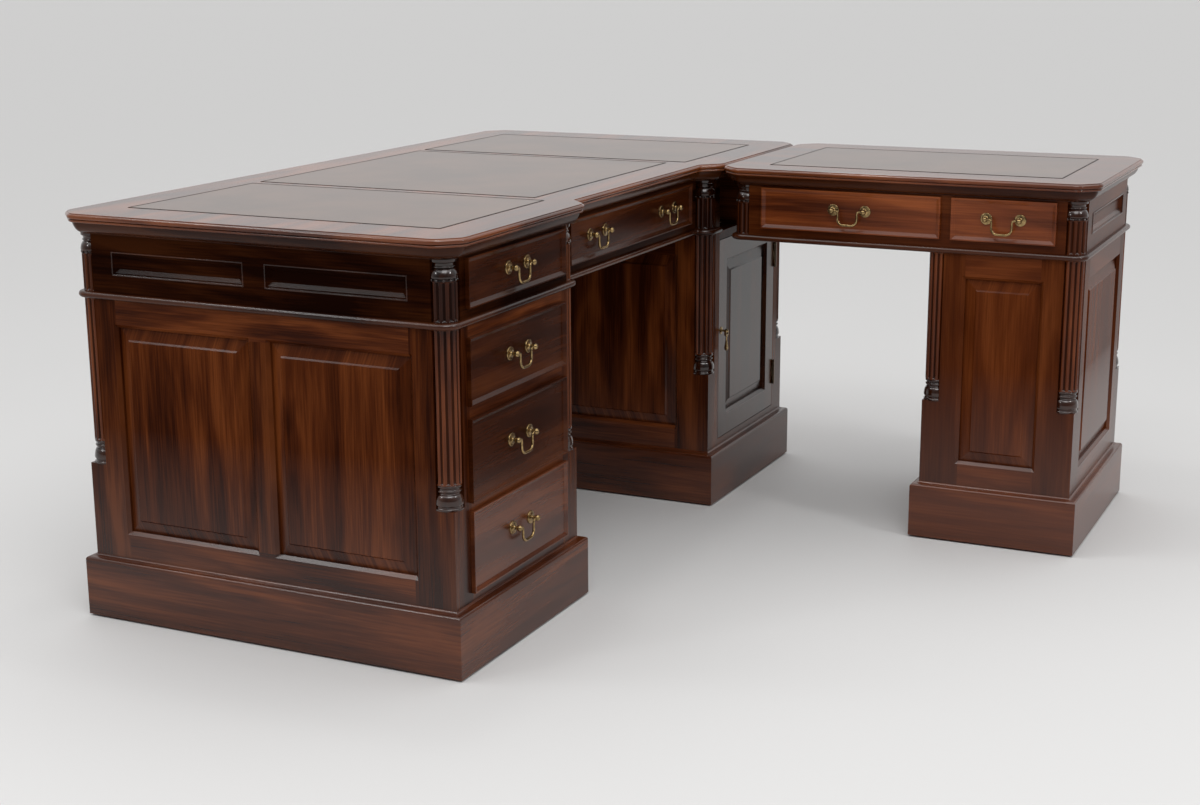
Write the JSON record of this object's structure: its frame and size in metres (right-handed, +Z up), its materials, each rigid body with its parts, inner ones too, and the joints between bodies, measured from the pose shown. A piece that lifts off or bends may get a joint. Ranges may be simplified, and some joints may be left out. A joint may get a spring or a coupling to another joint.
{
  "type": "corner pedestal desk",
  "caption": "L-shaped pedestal desk in dark polished wood with a return, leather-topped, with lipped drawers, a cupboard door, panelled sides and fluted corner columns.",
  "frame": {"origin": "middle of the whole footprint's bounding box, on the floor", "axes": "+X along the main desk towards the return's end, +Y to the main desk's back, +Z up"},
  "size_m": [1.678, 1.659, 0.78],
  "materials": {
    "mahogany": "dark reddish brown, polished to a high gloss",
    "lining": "plain, waxed",
    "leather": "hide with a tooled border, satin",
    "brass": "aged, half polished",
    "steel": "plain",
    "glide": "dark, matt"
  },
  "bodies": {
    "desk": {"main_top": "mahogany", "return_top": "mahogany", "leather_fields": "leather", "bed_moulds": "mahogany", "main_frieze": "mahogany", "return_frieze": "mahogany", "waist_boards": "mahogany", "shoulder_blocks": "mahogany", "column_caps": "mahogany", "upper_columns": "mahogany", "lower_columns": "mahogany", "column_bases": "mahogany", "pedestal_stiles": "mahogany", "pedestal_rails": "mahogany", "raised_panels": "mahogany", "pedestal_boards": "lining", "drawer_runners": "lining", "return_bearer": "mahogany", "cupboard_shelf": "lining", "hinge_leaves": "brass", "plinths": "mahogany", "glides": "glide"},
    "left_frieze_drawer": {"left_frieze_drawer_front": "mahogany", "left_frieze_drawer_box": "lining", "left_frieze_drawer_posts": "brass"},
    "left_frieze_drawer_bail": {"left_frieze_drawer_bail": "brass"},
    "left_drawer_top": {"left_drawer_top_front": "mahogany", "left_drawer_top_box": "lining", "left_drawer_top_posts": "brass"},
    "left_drawer_top_bail": {"left_drawer_top_bail": "brass"},
    "left_drawer_middle": {"left_drawer_middle_front": "mahogany", "left_drawer_middle_box": "lining", "left_drawer_middle_posts": "brass"},
    "left_drawer_middle_bail": {"left_drawer_middle_bail": "brass"},
    "left_drawer_bottom": {"left_drawer_bottom_front": "mahogany", "left_drawer_bottom_box": "lining", "left_drawer_bottom_posts": "brass"},
    "left_drawer_bottom_bail": {"left_drawer_bottom_bail": "brass"},
    "kneehole_drawer": {"kneehole_drawer_front": "mahogany", "kneehole_drawer_box": "lining", "kneehole_drawer_posts": "brass"},
    "kneehole_drawer_bail_a": {"kneehole_drawer_bail_a": "brass"},
    "kneehole_drawer_bail_b": {"kneehole_drawer_bail_b": "brass"},
    "return_wide_drawer": {"return_wide_drawer_front": "mahogany", "return_wide_drawer_box": "lining", "return_wide_drawer_posts": "brass"},
    "return_wide_drawer_bail": {"return_wide_drawer_bail": "brass"},
    "return_narrow_drawer": {"return_narrow_drawer_front": "mahogany", "return_narrow_drawer_box": "lining", "return_narrow_drawer_posts": "brass"},
    "return_narrow_drawer_bail": {"return_narrow_drawer_bail": "brass"},
    "door": {"door_frame": "mahogany", "door_panel": "mahogany", "door_hinges": "brass", "latch_case": "steel", "door_escutcheon": "brass"},
    "pull_spindle": {"pull_spindle": "brass"},
    "pull_drop": {"pull_drop": "brass"},
    "latch_bolt": {"latch_bolt": "steel"}
  },
  "joints": [
    {"name": "left_frieze_drawer_slide", "type": "slide", "parent": "desk", "child": "left_frieze_drawer", "axis": [0, -1, 0], "range_m": [0, 0.42]},
    {"name": "left_frieze_drawer_bail_swing", "type": "hinge", "parent": "left_frieze_drawer", "child": "left_frieze_drawer_bail", "pos_m": [-0.577, -0.0003, 0.698], "axis": [-1, 0, 0], "range_deg": [0, 90]},
    {"name": "left_drawer_top_slide", "type": "slide", "parent": "desk", "child": "left_drawer_top", "axis": [0, -1, 0], "range_m": [0, 0.42]},
    {"name": "left_drawer_top_bail_swing", "type": "hinge", "parent": "left_drawer_top", "child": "left_drawer_top_bail", "pos_m": [-0.577, -0.0003, 0.5435], "axis": [-1, 0, 0], "range_deg": [0, 90]},
    {"name": "left_drawer_middle_slide", "type": "slide", "parent": "desk", "child": "left_drawer_middle", "axis": [0, -1, 0], "range_m": [0, 0.42]},
    {"name": "left_drawer_middle_bail_swing", "type": "hinge", "parent": "left_drawer_middle", "child": "left_drawer_middle_bail", "pos_m": [-0.577, -0.0003, 0.385], "axis": [-1, 0, 0], "range_deg": [0, 90]},
    {"name": "left_drawer_bottom_slide", "type": "slide", "parent": "desk", "child": "left_drawer_bottom", "axis": [0, -1, 0], "range_m": [0, 0.42]},
    {"name": "left_drawer_bottom_bail_swing", "type": "hinge", "parent": "left_drawer_bottom", "child": "left_drawer_bottom_bail", "pos_m": [-0.577, -0.0003, 0.2195], "axis": [-1, 0, 0], "range_deg": [0, 90]},
    {"name": "kneehole_drawer_slide", "type": "slide", "parent": "desk", "child": "kneehole_drawer", "axis": [0, -1, 0], "range_m": [0, 0.29]},
    {"name": "kneehole_drawer_bail_a_swing", "type": "hinge", "parent": "kneehole_drawer", "child": "kneehole_drawer_bail_a", "pos_m": [-0.175, 0.0337, 0.698], "axis": [-1, 0, 0], "range_deg": [0, 90]},
    {"name": "kneehole_drawer_bail_b_swing", "type": "hinge", "parent": "kneehole_drawer", "child": "kneehole_drawer_bail_b", "pos_m": [0.175, 0.0337, 0.698], "axis": [-1, 0, 0], "range_deg": [0, 90]},
    {"name": "return_wide_drawer_slide", "type": "slide", "parent": "desk", "child": "return_wide_drawer", "axis": [1, 0, 0], "range_m": [-0.3, 0]},
    {"name": "return_wide_drawer_bail_swing", "type": "hinge", "parent": "return_wide_drawer", "child": "return_wide_drawer_bail", "pos_m": [0.2932, -0.313, 0.698], "axis": [0, 1, 0], "range_deg": [0, 90]},
    {"name": "return_narrow_drawer_slide", "type": "slide", "parent": "desk", "child": "return_narrow_drawer", "axis": [-1, 0, 0], "range_m": [0, 0.3]},
    {"name": "return_narrow_drawer_bail_swing", "type": "hinge", "parent": "return_narrow_drawer", "child": "return_narrow_drawer_bail", "pos_m": [0.2932, -0.6415, 0.698], "axis": [0, 1, 0], "range_deg": [0, 90]},
    {"name": "door_swing", "type": "hinge", "parent": "desk", "child": "door", "pos_m": [0.75425, 0.0141, 0.37], "axis": [0, 0, 1], "range_deg": [0, 95]},
    {"name": "pull_turn", "type": "hinge", "parent": "door", "child": "pull_spindle", "pos_m": [0.4145, 0.0045, 0.39198], "axis": [0, -1, 0], "range_deg": [0, 90]},
    {"name": "pull_drop_swing", "type": "hinge", "parent": "pull_spindle", "child": "pull_drop", "pos_m": [0.4145, 0.0045, 0.39198], "axis": [-1, 0, 0], "range_deg": [0, 80]},
    {"name": "latch_bolt_slide", "type": "slide", "parent": "door", "child": "latch_bolt", "axis": [-1, 0, 0], "range_m": [0, 0.008]}
  ],
  "couplings": [
    {"joint": "latch_bolt_slide", "follows": "pull_turn", "m_per_rad": 0.00509}
  ]
}
